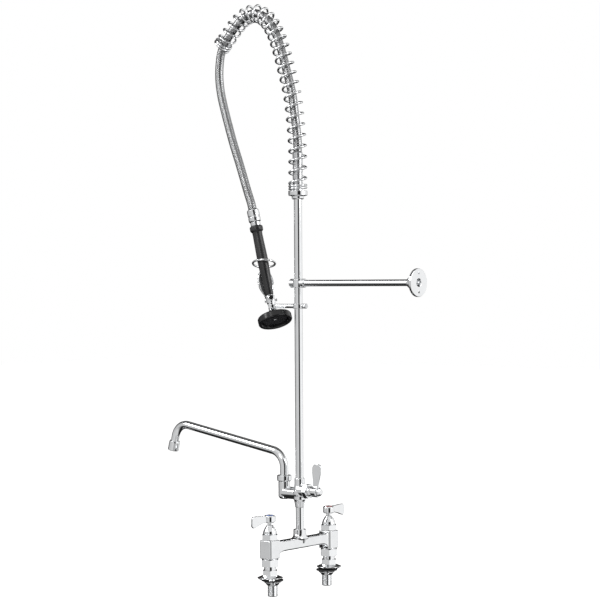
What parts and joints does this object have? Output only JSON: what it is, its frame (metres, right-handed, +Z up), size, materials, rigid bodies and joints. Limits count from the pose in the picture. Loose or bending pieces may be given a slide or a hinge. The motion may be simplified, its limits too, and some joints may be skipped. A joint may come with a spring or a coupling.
{
  "type": "pre rinse faucet",
  "caption": "Deck-mount pre rinse faucet: bridge base with lever valves, add-on swing spout, riser with wall bracket, overhead spring and hose, and a squeeze-lever spray valve.",
  "frame": {"origin": "midway between the two inlets, on the plane of the deck the washers stand on", "axes": "+Z up the riser, +X towards the cold valve, -Y towards the user and along the spout, +Y towards the wall"},
  "size_m": [0.314, 0.6982, 1.2766],
  "materials": {
    "chrome": "polished chrome plate",
    "cast_chrome": "chrome plate on a casting, slightly soft",
    "steel": "plain stainless steel",
    "braid": "braided stainless wire",
    "seal": "matte",
    "grip": "satin black sleeve",
    "bumper": "matte black",
    "face": "dark grey perforated face",
    "index_blue": "blue ring",
    "index_red": "red ring"
  },
  "bodies": {
    "base": {"bridge_body": "cast_chrome", "cold_shank": "chrome", "cold_deck_washer": "seal", "cold_coupling_nut": "chrome", "cold_union_gasket": "seal", "cold_bonnet": "chrome", "hot_shank": "chrome", "hot_deck_washer": "seal", "hot_coupling_nut": "chrome", "hot_union_gasket": "seal", "hot_bonnet": "chrome", "stub_nipple": "chrome", "addon_body": "cast_chrome", "addon_bonnet": "chrome", "spout_nut": "chrome", "riser_pipe": "chrome", "spring_collar": "chrome", "hose_adapter": "chrome", "hose_sleeve": "steel", "spring": "chrome", "hose_upper": "braid", "bracket_clamp": "chrome", "clamp_screw": "steel", "bracket_tube": "chrome", "wall_flange": "chrome", "finger_hook": "chrome", "hook_thumbscrew": "steel"},
    "cold_lever": {"cold_stem": "chrome", "cold_handle": "chrome", "cold_index": "index_blue", "cold_handle_screw": "steel"},
    "hot_lever": {"hot_stem": "chrome", "hot_handle": "chrome", "hot_index": "index_red", "hot_handle_screw": "steel"},
    "addon_lever": {"addon_stem": "chrome", "addon_handle": "chrome", "addon_cap": "chrome"},
    "spout": {"spout_tube": "chrome", "spout_oring": "seal", "spout_outlet": "chrome"},
    "cold_nut": {"cold_lock_nut": "chrome"},
    "hot_nut": {"hot_lock_nut": "chrome"},
    "hose_end": {"hose_lower": "braid", "hose_ferrule": "chrome"},
    "spray": {"swivel_ring": "chrome", "handle_pipe": "steel", "grip": "grip", "valve_body": "chrome", "front_cap": "chrome", "lever_pin": "steel", "head_bell": "chrome", "bumper": "bumper", "spray_face": "face", "face_screw": "steel"},
    "squeeze": {"squeeze_lever": "chrome"},
    "press": {"plunger": "steel"},
    "ring": {"hold_down_ring": "chrome"}
  },
  "joints": [
    {"name": "cold_handle_turn", "type": "hinge", "parent": "base", "child": "cold_lever", "pos_m": [0.1016, 0, 0.12], "axis": [0, 0, 1], "range_deg": [-90, 0]},
    {"name": "hot_handle_turn", "type": "hinge", "parent": "base", "child": "hot_lever", "pos_m": [-0.1016, 0, 0.12], "axis": [0, 0, 1], "range_deg": [0, 90]},
    {"name": "addon_handle_turn", "type": "hinge", "parent": "base", "child": "addon_lever", "pos_m": [0, 0.03, 0.183], "axis": [0, 1, 0], "range_deg": [0, 90]},
    {"name": "spout_swing", "type": "hinge", "parent": "base", "child": "spout", "pos_m": [0, -0.0425, 0.2], "axis": [0, 0, 1], "range_deg": [-145, 145]},
    {"name": "cold_lock_nut_run", "type": "slide", "parent": "base", "child": "cold_nut", "axis": [0, 0, 1], "range_m": [-0.023, 0]},
    {"name": "hot_lock_nut_run", "type": "slide", "parent": "base", "child": "hot_nut", "axis": [0, 0, 1], "range_m": [-0.023, 0]},
    {"name": "spray_swing", "type": "hinge", "parent": "base", "child": "hose_end", "pos_m": [0, -0.2135, 1.1495], "axis": [1, 0, 0], "range_deg": [-40, 0], "deforming": ["hose_lower"]},
    {"name": "spray_swivel", "type": "hinge", "parent": "hose_end", "child": "spray", "pos_m": [0, -0.12089, 0.76592], "axis": [0, -0.2436, 0.9699], "range_deg": [-180, 180]},
    {"name": "lever_squeeze", "type": "hinge", "parent": "spray", "child": "squeeze", "pos_m": [-0.00136, -0.07885, 0.59254], "axis": [-0.7314, 0.6615, 0.1661], "range_deg": [0, 7], "stiffness_Nm_per_rad": 3, "springref_deg": -5.73},
    {"name": "plunger_press", "type": "slide", "parent": "spray", "child": "press", "axis": [0.682, 0.7093, 0.1782], "range_m": [0, 0.0016]},
    {"name": "ring_slide", "type": "slide", "parent": "spray", "child": "ring", "axis": [0, -0.2436, 0.9699], "range_m": [-0.004, 0.03]}
  ],
  "couplings": [
    {"joint": "plunger_press", "follows": "lever_squeeze", "m_per_rad": 0.0056}
  ]
}
